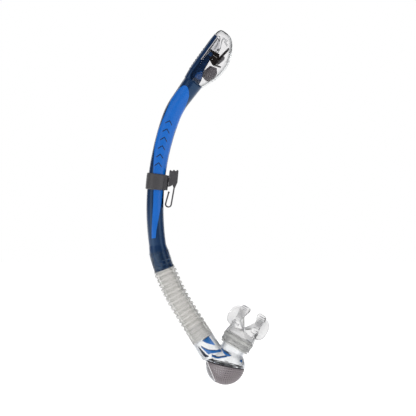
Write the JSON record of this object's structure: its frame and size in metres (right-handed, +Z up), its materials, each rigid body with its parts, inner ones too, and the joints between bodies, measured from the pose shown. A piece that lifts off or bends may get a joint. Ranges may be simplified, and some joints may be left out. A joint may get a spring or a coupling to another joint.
{
  "type": "snorkel tube",
  "caption": "Curved dry-top snorkel with float valve head, strap keeper, corrugated flexible tube, purge chamber and swivelling mouthpiece.",
  "frame": {"origin": "middle of the mask strap slot in the keeper's hook", "axes": "+Z up towards the dry top; +X towards the wearer's mouth, in the snorkel's own plane; +Y across it"},
  "size_m": [0.159, 0.0558, 0.4438],
  "materials": {
    "navy": "translucent dark navy moulding, glossy",
    "stripe_blue": "soft satin light blue inlay",
    "mark_black": "black print",
    "clear_cap": "clear polycarbonate",
    "lever_black": "black moulding",
    "float_grey": "dark grey closed foam",
    "seal_silicone": "black silicone",
    "keeper_grey": "dark grey satin moulding",
    "clear_silicone": "clear silicone",
    "clear_housing": "clear polycarbonate",
    "frame_blue": "light blue moulding",
    "cover_grey": "grey perforated moulding"
  },
  "bodies": {
    "barrel_unit": {"barrel": "navy", "stripe_front": "stripe_blue", "stripe_back": "stripe_blue", "stripe_marks": "mark_black", "head_body": "navy", "splash_cap": "clear_cap", "valve_frame": "navy", "valve_seat": "clear_cap", "flap_pins": "navy"},
    "flap": {"flap_lever": "lever_black", "flap_seal": "seal_silicone", "flap_weight": "float_grey"},
    "float_unit": {"float": "float_grey"},
    "keeper": {"keeper_ring": "keeper_grey"},
    "clip": {"strap_clip": "keeper_grey", "clip_stud": "keeper_grey"},
    "lower_unit": {"lower_chamber": "clear_housing", "inner_frame": "frame_blue", "purge_seat": "cover_grey", "cover_gasket": "seal_silicone", "purge_cover": "cover_grey", "flex_tube": "clear_silicone"},
    "membrane": {"purge_membrane": "clear_silicone"},
    "mouthpiece_unit": {"swivel_ring": "clear_housing", "clamp_band": "clear_housing", "mouthpiece": "clear_silicone"}
  },
  "joints": [
    {"name": "float_lift", "type": "slide", "parent": "barrel_unit", "child": "float_unit", "axis": [0.5878, 0, 0.809], "range_m": [0, 0.007]},
    {"name": "flap_close", "type": "hinge", "parent": "barrel_unit", "child": "flap", "pos_m": [0.05042, 0, 0.17942], "axis": [0, -1, 0], "range_deg": [0, 37.5]},
    {"name": "keeper_slide", "type": "hinge", "parent": "barrel_unit", "child": "keeper", "pos_m": [0.3111, 0, -0.0125], "axis": [0, 1, 0], "range_deg": [-8, 4]},
    {"name": "clip_swivel", "type": "hinge", "parent": "keeper", "child": "clip", "pos_m": [-0.00188, 0, 0.02331], "axis": [0.9949, 0, -0.1011], "range_deg": [-90, 90]},
    {"name": "flex_bend", "type": "hinge", "parent": "barrel_unit", "child": "lower_unit", "pos_m": [0.00391, 0, -0.11403], "axis": [0, -1, 0], "range_deg": [-17, 25], "stiffness_Nm_per_rad": 1.5, "springref_deg": 1.72, "deforming": ["flex_tube"]},
    {"name": "purge_open", "type": "slide", "parent": "lower_unit", "child": "membrane", "axis": [-0.2164, 0, -0.9763], "range_m": [0, 0.0015], "stiffness_N_per_m": 200},
    {"name": "mouthpiece_swivel", "type": "hinge", "parent": "lower_unit", "child": "mouthpiece_unit", "pos_m": [0.0859, 0, -0.1754], "axis": [0.505, 0, 0.8631], "range_deg": [-45, 45]}
  ],
  "couplings": [
    {"joint": "flap_close", "follows": "float_lift", "rad_per_m": 93.45}
  ]
}
